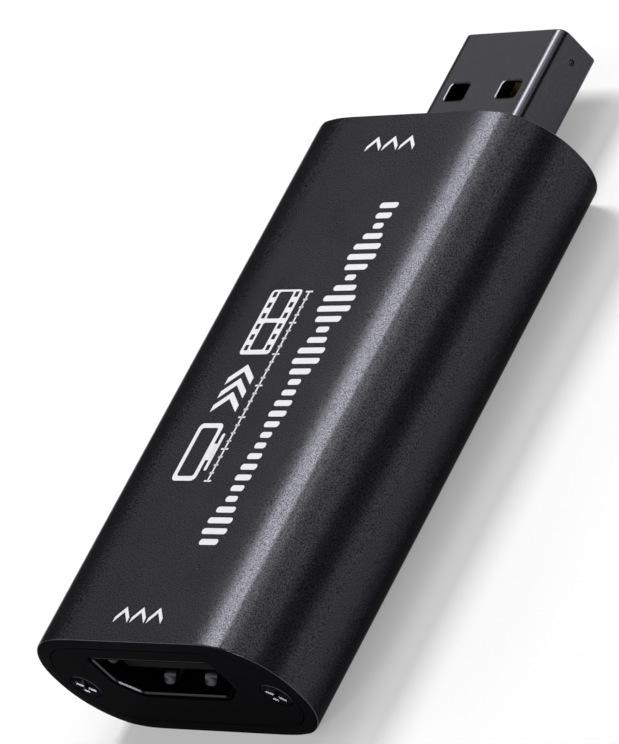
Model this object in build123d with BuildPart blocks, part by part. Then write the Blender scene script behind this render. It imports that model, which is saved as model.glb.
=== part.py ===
"""A video capture stick: an aluminium sleeve with a video socket at one end and a data plug at the other.

Lengths are in millimetres. +Z is up, +X is across the stick and +Y runs from the socket to the plug.
The origin is under the middle of the whole stick, on the surface that it lies on.
"""
import os
from math import atan2, degrees

from build123d import *

os.makedirs("parts", exist_ok=True)

# Casing: one length of extruded aluminium tube
casing_length = 52.0
casing_width = 28.8
casing_height = 12.6
casing_side_flat = 0.6
casing_wall = 1.2
casing_edge_break = 0.12

# End plates: moulded, set flush into the tube's two ends
plate_thickness = 1.6
plate_gap = 0.1

# Screws: two self-tapping countersunk screws through each plate
screw_diameter = 1.6
screw_head_diameter = 2.8
screw_head_rim = 0.2
screw_length = 6.0
screw_tip_length = 0.9
screw_gap = 0.05
screw_drop = 0.5
screw_recess_width = 0.36
screw_recess_span = 1.7
screw_recess_depth = 0.7
screw_recess_floor = 0.1
screw_margin = 0.3
channel_wall = 0.6
channel_web = 2.0
channel_mouth = 0.9

# Data plug: a folded steel sleeve round an insulator that carries four contacts
plug_width = 12.0
plug_height = 4.5
plug_length = 18.75
plug_reach = 12.6
plug_drop = 1.26
plug_corner = 0.5
plug_sheet = 0.3
plug_front_bevel = 0.12
plug_fit = 0.05
window_width = 2.5
window_length = 1.95
window_setback = 5.2
window_spacing = 6.15
dimple_radius = 0.42
dimple_depth = 0.16
dimple_setback = 1.86
seam_width = 0.08
seam_step = 0.55
seam_lock_length = 2.0
ear_length_share = 0.6
ear_setback_share = 0.28
ear_reach_share = 0.5
tongue_setback = 0.6
hollow_depth = 11.75
contact_width = 1.0
contact_thickness = 0.3
contact_inner_spacing = 2.0
contact_outer_spacing = 7.0
contact_setback = 1.5
contact_stagger = 1.0
contact_tail = 1.9

# Video socket: a folded shell round a moulding whose tongue carries two rows of contacts
socket_width = 14.7
socket_height = 5.25
socket_bottom_width = 10.3
socket_side = 3.5
socket_corner = 0.5
socket_sheet = 0.35
socket_length = 11.6
socket_recess = 0.1
socket_fit = 0.05
socket_cavity_depth = 8.0
leg_width = 1.6
leg_drop = 0.5
leg_setback = 1.7
leg_spacing = 6.4
finger_width = 1.5
finger_gap = 0.25
finger_tip = 1.0
finger_crest = 1.8
finger_root = 6.6
finger_lift = 0.4
finger_tip_lift = 0.15
finger_anchor = 0.8
finger_bend = 0.6
finger_spacing = 4.9
tongue_width = 11.0
tongue_thickness = 1.6
tongue_height = 2.15
tongue_front = 1.1
tongue_nose = 0.35
pin_width = 0.3
pin_thickness = 0.2
pin_pitch = 1.0
pin_setback = 0.6
pin_bend = 0.35
pin_run_out = 0.6
pin_foot = 1.2
upper_pin_count = 10
lower_pin_count = 9

# Circuit board: slides into a rail on each side of the tube, held down by the screw channel above it
board_thickness = 1.2
board_inset = 0.8
board_gap = 0.15
board_end_gap = 0.2
notch_gap = 0.15
leg_hole_gap = 0.1
ledge_width = 1.3
rail_wall = 1.0

# Chips: moulded bodies held off the board by their leads
chip_stand_off = 0.1
chip_edge = 0.12
chip_lead_thickness = 0.15
chip_lead_bend = 0.18
chip_lead_run = 0.22
pin_mark_depth = 0.08
capture_chip_size = 7.0
capture_chip_height = 1.4
capture_lead_width = 0.22
capture_lead_pitch = 0.5
capture_lead_count = 12
capture_lead_reach = 1.0
capture_pin_mark = 0.35
memory_chip_width = 4.9
memory_chip_length = 3.9
memory_chip_height = 1.45
memory_lead_width = 0.42
memory_lead_pitch = 1.27
memory_lead_count = 4
memory_lead_reach = 1.05
memory_pin_mark = 0.3
main_regulator_width = 6.5
main_regulator_length = 3.5
main_regulator_height = 1.6
main_lead_width = 0.7
main_lead_pitch = 2.3
main_lead_count = 3
main_lead_reach = 1.75
main_tab_width = 3.0
core_regulator_width = 1.25
core_regulator_length = 2.0
core_regulator_height = 0.95
core_lead_width = 0.25
core_lead_pitch = 0.65
core_lead_count = 3
core_lead_reach = 0.43
side_part_spacing = 4.4
row_gap = 1.4

# Crystal, capacitors, resistors, beads and surge arrays: soldered flat on the board
crystal_width = 2.0
crystal_length = 2.5
crystal_base_height = 0.35
crystal_can_height = 0.5
crystal_can_inset = 0.15
crystal_can_corner = 0.3
capacitor_length = 1.6
capacitor_width = 0.8
capacitor_height = 0.8
capacitor_pitch = 2.6
capacitor_count = 3
capacitor_row_spacing = 3.2
bulk_length = 3.2
bulk_width = 1.6
bulk_height = 1.6
resistor_length = 1.0
resistor_width = 0.5
resistor_height = 0.35
resistor_pitch = 1.7
resistor_count = 6
resistor_gap = 1.6
bead_length = 2.0
bead_width = 1.25
bead_height = 0.85
bead_gap = 0.8
end_cap_share = 0.22
end_cap_skin = 0.03
surge_length = 1.0
surge_width = 2.5
surge_height = 0.5
surge_spacing = 5.0
surge_gap = 0.8

# One cut overrun for every cut that has to pass a surface
overrun = 0.5

# Places that follow from the sizes above
stick_length = casing_length + plug_reach
socket_end = -stick_length / 2
plug_end = socket_end + casing_length
plug_tip = plug_end + plug_reach
mid_height = casing_height / 2
cavity_width = casing_width - 2 * casing_wall
cavity_height = casing_height - 2 * casing_wall
casing_corner = (casing_height - casing_side_flat) / 2
cavity_corner = casing_corner - casing_wall

channel_bore = screw_diameter / 2 + screw_gap
channel_radius = channel_bore + channel_wall
channel_x = cavity_width / 2 - plate_gap - screw_margin - screw_head_diameter / 2
channel_z = mid_height - screw_drop
channel_inner_x = channel_x - channel_radius

plug_z = mid_height - plug_drop
plug_rear = plug_tip - plug_length
board_top = plug_z - contact_thickness
board_bottom = board_top - board_thickness
board_width = 2 * (channel_x - board_inset)
board_front = socket_end + plate_thickness + board_end_gap
board_back = plug_end - plate_thickness - board_end_gap
notch_front = plug_rear - notch_gap

socket_front = socket_end + socket_recess
socket_rear = socket_front + socket_length
socket_z = board_top + socket_height / 2
pin_foot_end = socket_rear + pin_run_out + pin_foot
contact_tail_end = plug_rear - contact_tail


def across(y):
    """A plane that cuts the stick across at y, with X to the right and Z up, facing the socket's end."""
    return Plane.XZ.offset(-y)


def two_sided(distance):
    """The two places at this distance either side of the stick's middle."""
    return [-distance, distance]


def finish(builder, label):
    """Names a finished piece and writes it out under that name."""
    builder.part.label = label
    export_step(builder.part, f"parts/{label}.step")


def cavity_outline(shrink):
    """The tube's inner outline, drawn in by shrink on every side."""
    with BuildSketch() as outline:
        RectangleRounded(cavity_width - 2 * shrink, cavity_height - 2 * shrink, cavity_corner - shrink)
    return outline.sketch


def socket_outline(grow):
    """The socket's outline round its own middle: wide on top with both lower corners cut, grown by grow."""
    half_height = socket_height / 2
    shoulder = half_height - socket_side
    with BuildSketch() as outline:
        Polygon(
            (-socket_width / 2, half_height),
            (-socket_width / 2, shoulder),
            (-socket_bottom_width / 2, -half_height),
            (socket_bottom_width / 2, -half_height),
            (socket_width / 2, shoulder),
            (socket_width / 2, half_height),
            align=None,
        )
        fillet(outline.vertices(), socket_corner)
        if grow:
            offset(amount=grow, kind=Kind.ARC, mode=Mode.REPLACE)
    return outline.sketch


# Casing. The tube keeps its wall all round, and inside it run the screw channels and the board's ledges.
with BuildPart() as casing:
    with BuildSketch(across(socket_end)):
        with Locations((0, mid_height)):
            RectangleRounded(casing_width, casing_height, casing_corner)
            add(cavity_outline(0), mode=Mode.SUBTRACT)
    extrude(amount=-casing_length)
    rims = [face.outer_wire().edges() for face in casing.faces().filter_by(Axis.Y)]
    chamfer(rims[0] + rims[1], casing_edge_break)
    with BuildSketch(across(socket_end + plate_thickness)):
        for x in two_sided(channel_x):
            with Locations((x, channel_z)):
                Circle(channel_radius)
        web_length = casing_width / 2 - channel_x
        for x in two_sided(channel_x + web_length / 2):
            with Locations((x, channel_z)):
                Rectangle(web_length, channel_web)
        slot_half_width = board_width / 2 + board_gap
        rail_x = slot_half_width + (rail_wall - ledge_width) / 2
        rail_height = board_top + board_gap
        for x in two_sided(rail_x):
            with Locations((x, rail_height / 2)):
                Rectangle(ledge_width + rail_wall, rail_height)
        with Locations((0, mid_height)):
            RectangleRounded(
                casing_width - casing_wall,
                casing_height - casing_wall,
                casing_corner - casing_wall / 2,
                mode=Mode.INTERSECT,
            )
        for x in two_sided(channel_x):
            with Locations((x, channel_z)):
                Circle(channel_bore, mode=Mode.SUBTRACT)
        for x in two_sided(channel_x - channel_radius / 2):
            with Locations((x, channel_z)):
                Rectangle(channel_radius, channel_mouth, mode=Mode.SUBTRACT)
        with Locations((0, board_bottom + (board_thickness + board_gap) / 2)):
            Rectangle(2 * slot_half_width, board_thickness + board_gap, mode=Mode.SUBTRACT)
    extrude(amount=-(casing_length - 2 * plate_thickness))
finish(casing, "casing")


def screw_body(gap):
    """A countersunk screw pointing down from the origin, or with a gap, the space that it needs."""
    head_radius = screw_head_diameter / 2
    shank_radius = screw_diameter / 2
    neck_depth = screw_head_rim + head_radius - shank_radius
    with BuildPart() as body:
        with BuildSketch(Plane.XZ):
            Polygon(
                (0, gap),
                (head_radius + gap, gap),
                (head_radius + gap, -screw_head_rim),
                (shank_radius + gap, -neck_depth),
                (shank_radius + gap, screw_tip_length - screw_length),
                (0, -screw_length - gap),
                align=None,
            )
        revolve(axis=Axis.Z)
    return body


# Screw. It is drawn once, with a tapering cross recess in its head, and used at both ends.
recess_taper = degrees(atan2((screw_recess_width - screw_recess_floor) / 2, screw_recess_depth))
with BuildPart() as screw:
    add(screw_body(0).part)
    with BuildSketch():
        Rectangle(screw_recess_span, screw_recess_width)
        Rectangle(screw_recess_width, screw_recess_span)
    extrude(amount=-screw_recess_depth, taper=recess_taper, mode=Mode.SUBTRACT)


def end_plate(outer_face, opening):
    """A plate set flush into the tube's end, with its opening and two countersunk screw holes."""
    with BuildPart() as plate:
        with BuildSketch(outer_face):
            with Locations((0, mid_height)):
                add(cavity_outline(plate_gap))
            add(opening, mode=Mode.SUBTRACT)
        extrude(amount=-plate_thickness)
        with Locations(outer_face):
            with Locations((-channel_x, channel_z), (channel_x, channel_z)):
                add(screw_body(screw_gap).part, mode=Mode.SUBTRACT)
    return plate


def plate_screws(outer_face):
    """The two screws of one plate, their heads flush with its outer face."""
    with BuildPart() as pair:
        with Locations(outer_face):
            with Locations((-channel_x, channel_z), (channel_x, channel_z)):
                add(screw.part)
    return pair


socket_face = across(socket_end)
plug_face = Plane(origin=(0, plug_end, 0), x_dir=(-1, 0, 0), z_dir=(0, 1, 0))

# Input end plate. Its opening follows the socket's outline.
with BuildSketch() as socket_opening:
    with Locations((0, socket_z)):
        add(socket_outline(plate_gap))
input_end_plate = end_plate(socket_face, socket_opening.sketch)
finish(input_end_plate, "input_end_plate")
finish(plate_screws(socket_face), "input_plate_screws")

# Output end plate. The plug passes through its opening.
with BuildSketch() as plug_opening:
    with Locations((0, plug_z)):
        RectangleRounded(plug_width + 2 * plate_gap, plug_height + 2 * plate_gap, plug_corner + plate_gap)
output_end_plate = end_plate(plug_face, plug_opening.sketch)
finish(output_end_plate, "output_end_plate")
finish(plate_screws(plug_face), "output_plate_screws")

# Circuit board. It is notched for the plug and slotted for the socket's four legs.
leg_x = (socket_width - socket_sheet) / 2
leg_front = board_front + leg_setback
leg_places = [(x, leg_front + step) for x in two_sided(leg_x) for step in (0, leg_spacing)]
with BuildPart() as circuit_board:
    with BuildSketch(Plane.XY.offset(board_bottom)):
        with Locations((0, (board_front + board_back) / 2)):
            Rectangle(board_width, board_back - board_front)
        with Locations((0, notch_front)):
            Rectangle(
                plug_width + 2 * notch_gap,
                board_back - notch_front + overrun,
                align=(Align.CENTER, Align.MIN),
                mode=Mode.SUBTRACT,
            )
        with Locations(*leg_places):
            Rectangle(socket_sheet + 2 * leg_hole_gap, leg_width + 2 * leg_hole_gap, mode=Mode.SUBTRACT)
    extrude(amount=board_thickness)
finish(circuit_board, "circuit_board")


def seam_outline():
    """The slit where the plug's sheet meets along its bottom, with a dovetail lock in the middle."""
    half_length = plug_length / 2 + overrun
    with BuildSketch() as one_side:
        Polygon(
            (plug_width, -half_length),
            (0, -half_length),
            (0, -seam_lock_length),
            (seam_step, -seam_lock_length - seam_step),
            (seam_step, seam_lock_length + seam_step),
            (0, seam_lock_length),
            (0, half_length),
            (plug_width, half_length),
            align=None,
        )
    with BuildSketch() as slit:
        add(one_side.sketch)
        offset(amount=seam_width, kind=Kind.INTERSECTION, mode=Mode.REPLACE)
        add(one_side.sketch, mode=Mode.SUBTRACT)
    return slit.sketch


# Plug shell. Steel sheet folded into a sleeve, its seam locked along the bottom. It has two windows top and
# bottom, a pressed dimple on each side and, at the rear, an ear on each side that is soldered to the board.
with BuildPart() as plug_shell:
    with BuildSketch(across(plug_rear)):
        with Locations((0, plug_z)):
            RectangleRounded(plug_width, plug_height, plug_corner)
            RectangleRounded(
                plug_width - 2 * plug_sheet,
                plug_height - 2 * plug_sheet,
                plug_corner - plug_sheet,
                mode=Mode.SUBTRACT,
            )
    extrude(amount=-plug_length)
    chamfer(plug_shell.faces().filter_by(Axis.Y).sort_by(Axis.Y)[-1].outer_wire().edges(), plug_front_bevel)
    with BuildSketch(Plane.XY.offset(plug_z)):
        with Locations((0, plug_tip - window_setback - window_length / 2)):
            with GridLocations(window_spacing, 0, 2, 1):
                Rectangle(window_width, window_length)
    extrude(amount=plug_height, both=True, mode=Mode.SUBTRACT)
    with BuildSketch(Plane.XY.offset(plug_z - plug_height / 2 - overrun)):
        with Locations((0, (plug_tip + plug_rear) / 2)):
            add(seam_outline())
    extrude(amount=overrun + 2 * plug_sheet, mode=Mode.SUBTRACT)
    sphere_radius = (dimple_radius**2 + dimple_depth**2) / (2 * dimple_depth)
    for x in two_sided(plug_width / 2 + sphere_radius - dimple_depth):
        with Locations((x, plug_tip - dimple_setback, plug_z)):
            Sphere(sphere_radius, rotation=(0, 90, 0), mode=Mode.SUBTRACT)
    ear_bay = board_back - plug_rear
    ear_y = plug_rear + (ear_setback_share + ear_length_share / 2) * ear_bay
    ear_width = ear_reach_share * (channel_inner_x - plug_width / 2) + plug_sheet
    for x in two_sided(plug_width / 2 - plug_sheet + ear_width / 2):
        with Locations((x, ear_y, board_top)):
            Box(ear_width, ear_length_share * ear_bay, plug_sheet, align=(Align.CENTER, Align.CENTER, Align.MIN))
finish(plug_shell, "plug_shell")

# Plug contacts. Four flat strips, the outer pair longer towards the tip, their tails flat on the board.
with BuildPart() as plug_contacts:
    for spacing, stagger in ((contact_outer_spacing, 0), (contact_inner_spacing, contact_stagger)):
        strip_front = plug_tip - contact_setback - stagger
        with BuildSketch(Plane.XY.offset(board_top)):
            with Locations((0, (strip_front + contact_tail_end) / 2)):
                with GridLocations(spacing, 0, 2, 1):
                    Rectangle(contact_width, strip_front - contact_tail_end)
        extrude(amount=contact_thickness)
finish(plug_contacts, "plug_contacts")

# Plug insulator. A block fills the plug's rear, and its tongue runs forward under the contacts.
insulator_front = plug_tip - tongue_setback
hollow_back = plug_tip - hollow_depth
insulator_width = plug_width - 2 * plug_sheet - 2 * plug_fit
insulator_height = plug_height - 2 * plug_sheet - plug_fit
with BuildPart() as plug_insulator:
    with BuildSketch(across(plug_rear)):
        with Locations((0, plug_z - plug_fit / 2)):
            RectangleRounded(insulator_width, insulator_height, plug_corner - plug_sheet)
    extrude(amount=-(insulator_front - plug_rear))
    with Locations((0, hollow_back, plug_z)):
        Box(
            plug_width,
            insulator_front - hollow_back + overrun,
            plug_height,
            align=(Align.CENTER, Align.MIN, Align.MIN),
            mode=Mode.SUBTRACT,
        )
    add(plug_contacts.part, mode=Mode.SUBTRACT)
finish(plug_insulator, "plug_insulator")


def side_view(x, z, upward):
    """A plane along the stick through (x, z), with local X towards the plug and local Y along upward."""
    return Plane(origin=(x, 0, z), x_dir=(0, 1, 0), z_dir=Vector(0, 1, 0).cross(Vector(*upward)))


def bent_strip(plane, points, bend, thickness, width):
    """A strip of sheet bent along points, which are its underside, with width across the plane."""
    with BuildPart() as strip:
        with BuildSketch(plane):
            with BuildLine():
                FilletPolyline(*points, radius=bend)
                offset(amount=thickness, side=Side.LEFT)
            make_face()
        extrude(amount=width / 2, both=True)
    return strip.part


# Video socket shell. Six fingers are cut free of its walls and bent inwards, and its four legs go through
# the board.
finger_places = [
    *[(x, socket_z - socket_height / 2, (0, 0, 1)) for x in two_sided(finger_spacing / 2)],
    *[(x, socket_z + socket_height / 2, (0, 0, -1)) for x in two_sided(finger_spacing / 2)],
    (-socket_width / 2, socket_z + (socket_height - socket_side) / 2, (1, 0, 0)),
    (socket_width / 2, socket_z + (socket_height - socket_side) / 2, (-1, 0, 0)),
]
finger_points = [
    (socket_front + finger_tip, finger_tip_lift),
    (socket_front + finger_crest, finger_lift),
    (socket_front + finger_root, 0),
    (socket_front + finger_root + finger_anchor, 0),
]
slot_start = socket_front + finger_tip - finger_gap
slot_length = finger_root - finger_tip + finger_gap
leg_top = socket_z + socket_height / 2 - socket_corner - socket_sheet
leg_bottom = board_bottom - leg_drop
with BuildPart() as video_socket_shell:
    with BuildSketch(across(socket_front)):
        with Locations((0, socket_z)):
            add(socket_outline(0))
            add(socket_outline(-socket_sheet), mode=Mode.SUBTRACT)
    extrude(amount=-socket_length)
    for x, z, inward in finger_places:
        with BuildSketch(side_view(x, z, inward)):
            with Locations((slot_start, 0)):
                Rectangle(slot_length, 2 * socket_sheet, align=(Align.MIN, Align.CENTER))
        extrude(amount=finger_width / 2 + finger_gap, both=True, mode=Mode.SUBTRACT)
        add(bent_strip(side_view(x, z, inward), finger_points, finger_bend, socket_sheet, finger_width))
    for x, y in leg_places:
        with Locations((x, y, leg_bottom)):
            Box(socket_sheet, leg_width, leg_top - leg_bottom, align=(Align.CENTER, Align.CENTER, Align.MIN))
finish(video_socket_shell, "video_socket_shell")


def pin_row(count, underside):
    """One row of socket contacts: each lies along the tongue at this height and steps down to the board."""
    bend_y = socket_rear + pin_run_out
    points = [
        (socket_front + tongue_front + pin_setback, underside),
        (bend_y, underside),
        (bend_y, board_top),
        (pin_foot_end, board_top),
    ]
    with BuildPart() as row:
        pin = bent_strip(side_view(0, 0, (0, 0, 1)), points, pin_bend, pin_thickness, pin_width)
        with GridLocations(pin_pitch, 0, count, 1):
            add(pin)
    return row


# Video socket contacts. The two rows lie in the tongue's faces, half a pitch apart.
tongue_bottom = board_top + tongue_height
upper_contacts = pin_row(upper_pin_count, tongue_bottom + tongue_thickness - pin_thickness)
finish(upper_contacts, "video_socket_upper_contacts")
lower_contacts = pin_row(lower_pin_count, tongue_bottom)
finish(lower_contacts, "video_socket_lower_contacts")

# Video socket housing. A block closes the shell's rear and holds the tongue.
with BuildPart() as video_socket_housing:
    with BuildSketch(across(socket_front + socket_cavity_depth)):
        with Locations((0, socket_z)):
            add(socket_outline(-socket_sheet - socket_fit))
    extrude(amount=-(socket_length - socket_cavity_depth))
    with BuildSketch(across(socket_front + tongue_front)):
        with Locations((0, tongue_bottom)):
            Rectangle(tongue_width, tongue_thickness, align=(Align.CENTER, Align.MIN))
    extrude(amount=-(socket_cavity_depth - tongue_front))
    nose_edges = video_socket_housing.faces().sort_by(Axis.Y)[0].edges().filter_by(Axis.X)
    chamfer(nose_edges, tongue_nose)
    add(upper_contacts.part, mode=Mode.SUBTRACT)
    add(lower_contacts.part, mode=Mode.SUBTRACT)
finish(video_socket_housing, "video_socket_housing")


def chip_body(width, length, height, mark_radius=0):
    """A moulded chip body standing on the origin's plane, with its edges eased and its first pin marked."""
    with BuildPart() as body:
        with Locations((0, 0, chip_stand_off)):
            Box(width, length, height, align=(Align.CENTER, Align.CENTER, Align.MIN))
        chamfer(body.edges().filter_by(Axis.Z), chip_edge)
        chamfer(body.faces().sort_by(Axis.Z)[-1].edges(), chip_edge)
        if mark_radius:
            mark_edge = 3 * mark_radius
            with Locations((mark_edge - width / 2, mark_edge - length / 2, chip_stand_off + height)):
                Cylinder(mark_radius, 2 * pin_mark_depth, mode=Mode.SUBTRACT)
    return body.part


def gull_lead(body_edge, body_height, reach, width):
    """One lead that leaves a chip's side half way up, steps down and lies on the board."""
    height = chip_stand_off + body_height / 2
    step = body_edge + chip_lead_run
    points = [(body_edge, height), (step, height), (step, 0), (body_edge + reach, 0)]
    return bent_strip(side_view(0, 0, (0, 0, 1)), points, chip_lead_bend, chip_lead_thickness, width)


def on_board(x, y):
    """The place on the board's top at (x, y)."""
    return Location((x, y, board_top))


def under_board(x, y):
    """The place on the board's underside at (x, y), for a part that hangs from it."""
    return Location((x, y, board_bottom)) * Rotation(180, 0, 0)


# Rows of parts on the board's top, from the socket to the plug
surge_y = pin_foot_end + surge_gap + surge_length / 2
rear_row_back = contact_tail_end - row_gap
main_y = rear_row_back - main_lead_reach - main_regulator_length / 2
rear_row_front = main_y - main_lead_reach - main_regulator_length / 2
capture_y = (surge_y + surge_length / 2 + rear_row_front) / 2

# Surge arrays, close behind the socket's contacts.
with BuildPart() as surge_arrays:
    with Locations(on_board(0, surge_y)):
        with GridLocations(surge_spacing, 0, 2, 1):
            Box(surge_width, surge_length, surge_height, align=(Align.CENTER, Align.CENTER, Align.MIN))
finish(surge_arrays, "surge_arrays")

# Capture chip and its leads, midway between the surge arrays and the rear row.
capture_edge = capture_chip_size / 2
with BuildPart() as capture_chip:
    with Locations(on_board(0, capture_y)):
        add(chip_body(capture_chip_size, capture_chip_size, capture_chip_height, capture_pin_mark))
finish(capture_chip, "capture_chip")
with BuildPart() as capture_chip_leads:
    capture_lead = gull_lead(capture_edge, capture_chip_height, capture_lead_reach, capture_lead_width)
    with Locations(on_board(0, capture_y)):
        with PolarLocations(0, 4):
            with GridLocations(capture_lead_pitch, 0, capture_lead_count, 1):
                add(capture_lead)
finish(capture_chip_leads, "capture_chip_leads")

# Main regulator in the rear row. Three leads on one side and a broad tab on the other.
row_space = (2 * channel_inner_x - main_regulator_width - memory_chip_width) / 3
main_x = row_space + main_regulator_width / 2 - channel_inner_x
with BuildPart() as main_regulator:
    with Locations(on_board(main_x, main_y)):
        add(chip_body(main_regulator_width, main_regulator_length, main_regulator_height))
finish(main_regulator, "main_regulator")
with BuildPart() as main_regulator_leads:
    main_edge = main_regulator_length / 2
    main_lead = gull_lead(main_edge, main_regulator_height, main_lead_reach, main_lead_width)
    main_tab = gull_lead(main_edge, main_regulator_height, main_lead_reach, main_tab_width)
    with Locations(on_board(main_x, main_y)):
        with GridLocations(main_lead_pitch, 0, main_lead_count, 1):
            add(main_lead)
        with Locations(Rotation(0, 0, 180)):
            add(main_tab)
finish(main_regulator_leads, "main_regulator_leads")

# Memory chip and its leads, beside the main regulator.
memory_x = channel_inner_x - row_space - memory_chip_width / 2
memory_y = rear_row_back - memory_lead_reach - memory_chip_length / 2
with BuildPart() as memory_chip:
    with Locations(on_board(memory_x, memory_y)):
        add(chip_body(memory_chip_width, memory_chip_length, memory_chip_height, memory_pin_mark))
finish(memory_chip, "memory_chip")
with BuildPart() as memory_chip_leads:
    memory_edge = memory_chip_length / 2
    memory_lead = gull_lead(memory_edge, memory_chip_height, memory_lead_reach, memory_lead_width)
    with Locations(on_board(memory_x, memory_y)):
        with PolarLocations(0, 2):
            with GridLocations(memory_lead_pitch, 0, memory_lead_count, 1):
                add(memory_lead)
finish(memory_chip_leads, "memory_chip_leads")

# Core regulator, midway between the capture chip's leads and the screw channel, with its leads pointing across.
side_part_x = (capture_edge + capture_lead_reach + channel_inner_x) / 2
side_part_front = capture_y - side_part_spacing / 2
side_part_back = capture_y + side_part_spacing / 2
core_place = on_board(-side_part_x, side_part_front) * Rotation(0, 0, 90)
with BuildPart() as core_regulator:
    with Locations(core_place):
        add(chip_body(core_regulator_length, core_regulator_width, core_regulator_height))
finish(core_regulator, "core_regulator")
with BuildPart() as core_regulator_leads:
    core_edge = core_regulator_width / 2
    core_lead = gull_lead(core_edge, core_regulator_height, core_lead_reach, core_lead_width)
    with Locations(core_place):
        with PolarLocations(0, 2):
            with GridLocations(core_lead_pitch, 0, core_lead_count, 1):
                add(core_lead)
finish(core_regulator_leads, "core_regulator_leads")

# Crystal. A metal can on a ceramic base, on the capture chip's other side.
crystal_place = on_board(side_part_x, side_part_front)
with BuildPart() as crystal_base:
    with Locations(crystal_place):
        Box(crystal_width, crystal_length, crystal_base_height, align=(Align.CENTER, Align.CENTER, Align.MIN))
finish(crystal_base, "crystal_base")
with BuildPart() as crystal_can:
    with BuildSketch(Plane(crystal_place).offset(crystal_base_height)):
        RectangleRounded(
            crystal_width - 2 * crystal_can_inset,
            crystal_length - 2 * crystal_can_inset,
            crystal_can_corner,
        )
    extrude(amount=crystal_can_height)
    fillet(crystal_can.faces().sort_by(Axis.Z)[-1].edges(), crystal_can_inset)
finish(crystal_can, "crystal_can")


def two_ended(length, width, height):
    """A block with a metal cap on each end, which is slightly thicker than the block, lying along Y."""
    cap = length * end_cap_share
    with BuildPart() as block:
        with Locations((0, 0, end_cap_skin)):
            Box(
                width - 2 * end_cap_skin,
                length - cap,
                height - 2 * end_cap_skin,
                align=(Align.CENTER, Align.CENTER, Align.MIN),
            )
        for y in two_sided((length - cap) / 2):
            with Locations((0, y, 0)):
                Box(width, cap, height, align=(Align.CENTER, Align.CENTER, Align.MIN))
    return block.part


# Bulk capacitors, one each side of the capture chip, behind the core regulator and the crystal.
with BuildPart() as bulk_capacitors:
    bulk_capacitor = two_ended(bulk_length, bulk_width, bulk_height)
    for x in two_sided(side_part_x):
        with Locations(on_board(x, side_part_back)):
            add(bulk_capacitor)
finish(bulk_capacitors, "bulk_capacitors")

# Ceramic capacitors, in two rows on the board's underside, below the capture chip.
with BuildPart() as ceramic_capacitors:
    ceramic_capacitor = two_ended(capacitor_length, capacitor_width, capacitor_height)
    with Locations(under_board(0, capture_y)):
        with GridLocations(capacitor_pitch, capacitor_row_spacing, capacitor_count, 2):
            add(ceramic_capacitor)
finish(ceramic_capacitors, "ceramic_capacitors")

# Resistors, in a row on the underside behind the ceramic capacitors, with a ferrite bead at each end of the row.
resistor_y = capture_y + (capacitor_row_spacing + capacitor_length) / 2 + resistor_gap
with BuildPart() as resistors:
    resistor = two_ended(resistor_length, resistor_width, resistor_height)
    with Locations(under_board(0, resistor_y)):
        with GridLocations(resistor_pitch, 0, resistor_count, 1):
            add(resistor)
finish(resistors, "resistors")
bead_x = resistor_pitch * (resistor_count - 1) / 2 + resistor_width / 2 + bead_gap + bead_width / 2
with BuildPart() as ferrite_beads:
    ferrite_bead = two_ended(bead_length, bead_width, bead_height)
    for x in two_sided(bead_x):
        with Locations(under_board(x, resistor_y)):
            add(ferrite_bead)
finish(ferrite_beads, "ferrite_beads")
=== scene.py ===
"""A video capture stick: camera, floor and light first, then its pieces in the order that they go together."""
import math

import bmesh
import bpy
from mathutils import Matrix, Vector


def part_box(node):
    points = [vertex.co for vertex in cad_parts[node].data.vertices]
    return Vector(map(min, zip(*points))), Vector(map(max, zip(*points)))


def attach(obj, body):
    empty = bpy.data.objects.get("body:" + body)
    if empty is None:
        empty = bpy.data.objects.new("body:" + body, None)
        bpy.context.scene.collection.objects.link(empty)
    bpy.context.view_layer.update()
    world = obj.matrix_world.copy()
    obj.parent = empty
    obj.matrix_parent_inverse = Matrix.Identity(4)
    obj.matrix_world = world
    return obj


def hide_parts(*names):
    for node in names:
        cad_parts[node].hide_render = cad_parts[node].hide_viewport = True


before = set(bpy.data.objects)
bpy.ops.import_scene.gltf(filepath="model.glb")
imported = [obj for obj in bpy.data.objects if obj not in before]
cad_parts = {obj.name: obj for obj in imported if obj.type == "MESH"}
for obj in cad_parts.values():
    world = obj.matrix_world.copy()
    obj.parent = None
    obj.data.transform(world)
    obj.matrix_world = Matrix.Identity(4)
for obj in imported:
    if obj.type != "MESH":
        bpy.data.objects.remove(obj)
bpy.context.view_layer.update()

# Camera. It stands off the socket's end, up and to the right, and is turned on its own axis, so that the stick
# rises from the picture's lower left to its upper right.
MM = 0.001
camera_azimuth = math.radians(61.845)
camera_height_angle = math.radians(32.655)
camera_roll = math.radians(-45.720)
camera_distance = 520.24 * MM
camera_aim = Vector((-0.473, -3.602, 8.937)) * MM
camera_lens_mm = 314.26
camera_clip_start = 10 * MM
camera_clip_end = 20.0

to_camera = Vector((
    math.sin(camera_azimuth) * math.cos(camera_height_angle),
    -math.cos(camera_azimuth) * math.cos(camera_height_angle),
    math.sin(camera_height_angle),
))
bpy.ops.object.camera_add()
camera = bpy.context.object
camera.matrix_world = (
    Matrix.Translation(camera_aim + to_camera * camera_distance)
    @ to_camera.to_track_quat("Z", "Y").to_matrix().to_4x4()
    @ Matrix.Rotation(camera_roll, 4, "Z")
)
camera.data.lens = camera_lens_mm
camera.data.clip_start = camera_clip_start
camera.data.clip_end = camera_clip_end
bpy.context.scene.camera = camera
bpy.context.scene.view_settings.view_transform = "Standard"


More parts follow.
